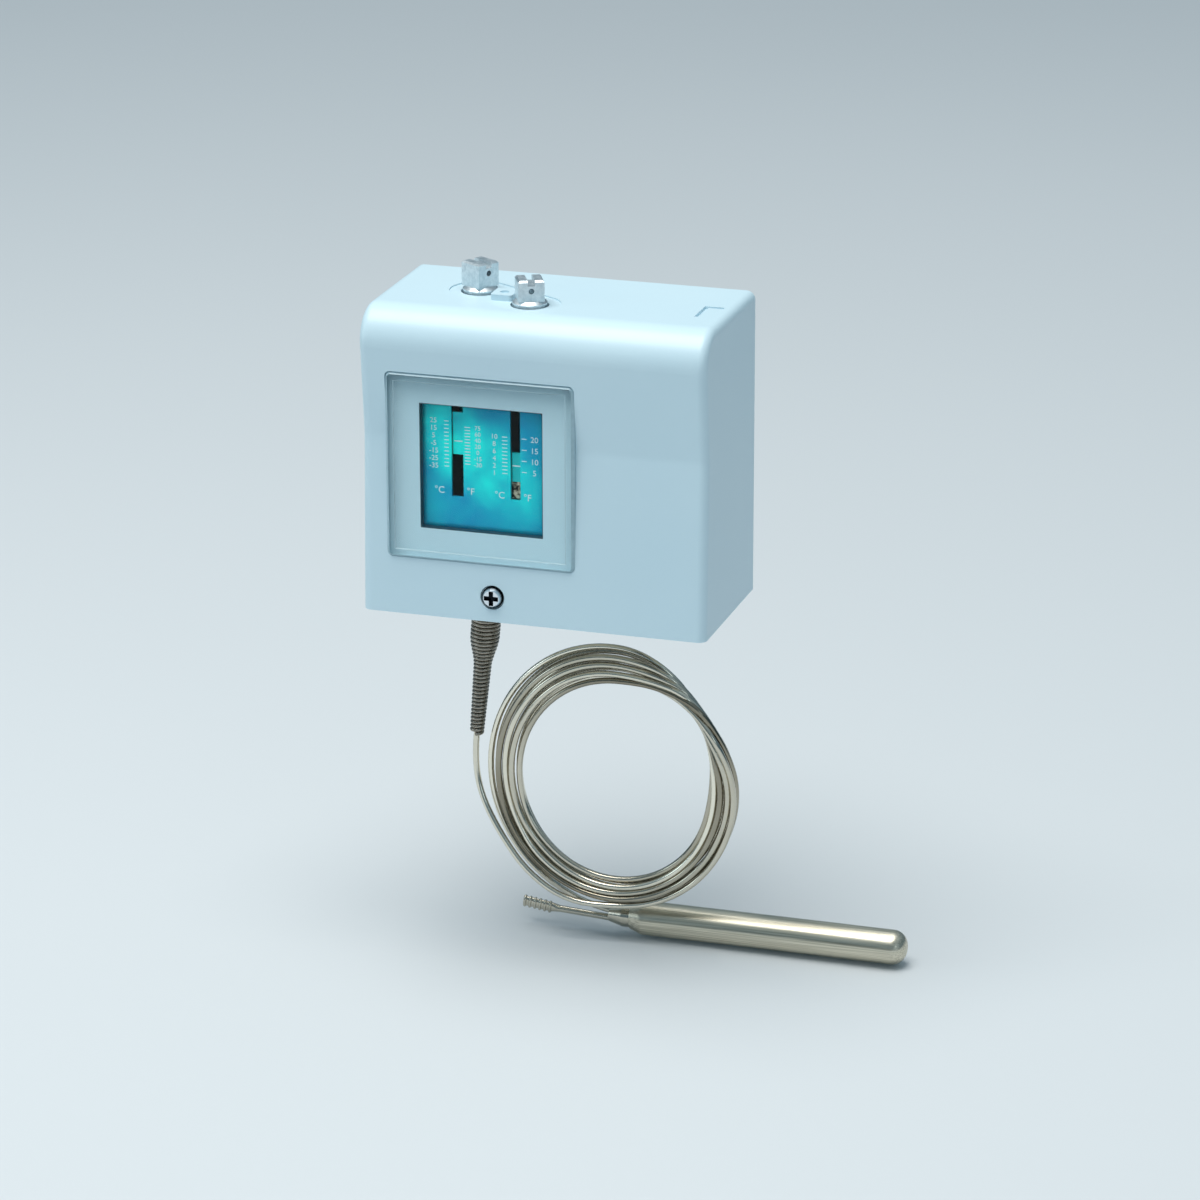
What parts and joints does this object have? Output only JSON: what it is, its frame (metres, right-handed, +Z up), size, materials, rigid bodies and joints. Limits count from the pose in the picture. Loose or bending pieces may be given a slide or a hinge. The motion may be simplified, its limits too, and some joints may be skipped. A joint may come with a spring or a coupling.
{
  "type": "thermostat",
  "caption": "Wall-mounted refrigeration thermostat: moulded hood with a scale window, square-headed setting spindles and a coiled capillary ending in a remote sensing bulb.",
  "frame": {"origin": "centre of the frame's back face, which lies on the wall", "axes": "+X to the right as seen from the front, +Y into the wall, +Z up"},
  "size_m": [0.15, 0.05, 0.2001],
  "materials": {
    "white_moulding": "satin moulded ABS",
    "clear_window": "clear polished acrylic",
    "zinc_steel": "zinc-plated sheet steel",
    "bright_steel": "turned, nickel-plated steel",
    "spring_steel": "oiled spring steel wire",
    "stainless": "drawn stainless steel",
    "brass": "turned brass",
    "teal_print": "satin teal enamel with white print",
    "dark_moulding": "black phenolic moulding",
    "black_rubber": "moulded rubber"
  },
  "bodies": {
    "housing": {"hood": "white_moulding", "window": "clear_window", "mounting_frame": "zinc_steel", "pivot_bracket": "zinc_steel", "cover_screw": "bright_steel", "scale_plate": "teal_print", "scale_plate_screws": "bright_steel", "spindle_bushes": "brass", "range_spring": "spring_steel", "differential_spring": "spring_steel", "lever_pin": "bright_steel", "bellows_base": "brass", "bellows": "brass", "capillary_nipple": "brass", "anti_kink_spring": "spring_steel", "capillary_inlet": "stainless", "capillary_lead": "stainless", "capillary_coil": "stainless", "capillary_end": "stainless", "sensing_bulb": "stainless", "bulb_plug": "stainless", "filling_tube": "stainless", "switch_body": "dark_moulding", "contact_arm_pin": "bright_steel", "fixed_contacts": "brass", "terminal_clamps": "brass", "terminal_screws": "bright_steel", "switch_screws": "bright_steel", "earth_screw": "bright_steel", "cable_grommet": "black_rubber"},
    "range_spindle_body": {"range_spindle": "bright_steel", "range_clip": "spring_steel"},
    "differential_spindle_body": {"differential_spindle": "bright_steel", "differential_clip": "spring_steel"},
    "range_pointer_body": {"range_pointer": "teal_print"},
    "differential_pointer_body": {"differential_pointer": "teal_print"},
    "lever_body": {"main_lever": "zinc_steel"},
    "thrust_pad_body": {"thrust_pad": "brass"},
    "plunger_body": {"switch_plunger": "dark_moulding"},
    "contact_arm_body": {"contact_arm": "brass"}
  },
  "joints": [
    {"name": "range_turn", "type": "hinge", "parent": "housing", "child": "range_spindle_body", "pos_m": [-0.0238, -0.021, 0.0438], "axis": [0, 0, 1], "range_deg": [-2124, 2628]},
    {"name": "range_pointer_slide", "type": "slide", "parent": "housing", "child": "range_pointer_body", "axis": [0, 0, 1], "range_m": [-0.0073, 0.0059], "deforming": ["range_spring"]},
    {"name": "differential_turn", "type": "hinge", "parent": "housing", "child": "differential_spindle_body", "pos_m": [-0.0061, -0.0307, 0.0438], "axis": [0, 0, 1], "range_deg": [-2880, 864]},
    {"name": "differential_pointer_slide", "type": "slide", "parent": "housing", "child": "differential_pointer_body", "axis": [0, 0, 1], "range_m": [-0.0024, 0.008], "deforming": ["differential_spring"]},
    {"name": "lever_tilt", "type": "hinge", "parent": "housing", "child": "lever_body", "pos_m": [-0.044, -0.021, -0.0268], "axis": [0, -1, 0], "range_deg": [-1.2, 1.2], "stiffness_Nm_per_rad": 2},
    {"name": "thrust_pad_slide", "type": "slide", "parent": "housing", "child": "thrust_pad_body", "axis": [0, 0, 1], "range_m": [-0.00043, 0.00043], "deforming": ["bellows"]},
    {"name": "switch_plunger_slide", "type": "slide", "parent": "housing", "child": "plunger_body", "axis": [0, 0, 1], "range_m": [-0.00148, 0.00148]},
    {"name": "contact_arm_tilt", "type": "hinge", "parent": "housing", "child": "contact_arm_body", "pos_m": [0.038, -0.024, -0.0058], "axis": [0, 1, 0], "range_deg": [-7.4, 7.4]}
  ],
  "couplings": [
    {"joint": "range_turn", "follows": "range_pointer_slide", "rad_per_m": -6283.2},
    {"joint": "differential_turn", "follows": "differential_pointer_slide", "rad_per_m": -6283.2},
    {"joint": "thrust_pad_slide", "follows": "lever_tilt", "m_per_rad": 0.0202},
    {"joint": "switch_plunger_slide", "follows": "lever_tilt", "m_per_rad": 0.0705},
    {"joint": "contact_arm_tilt", "follows": "lever_tilt", "ratio": 6.1304}
  ]
}
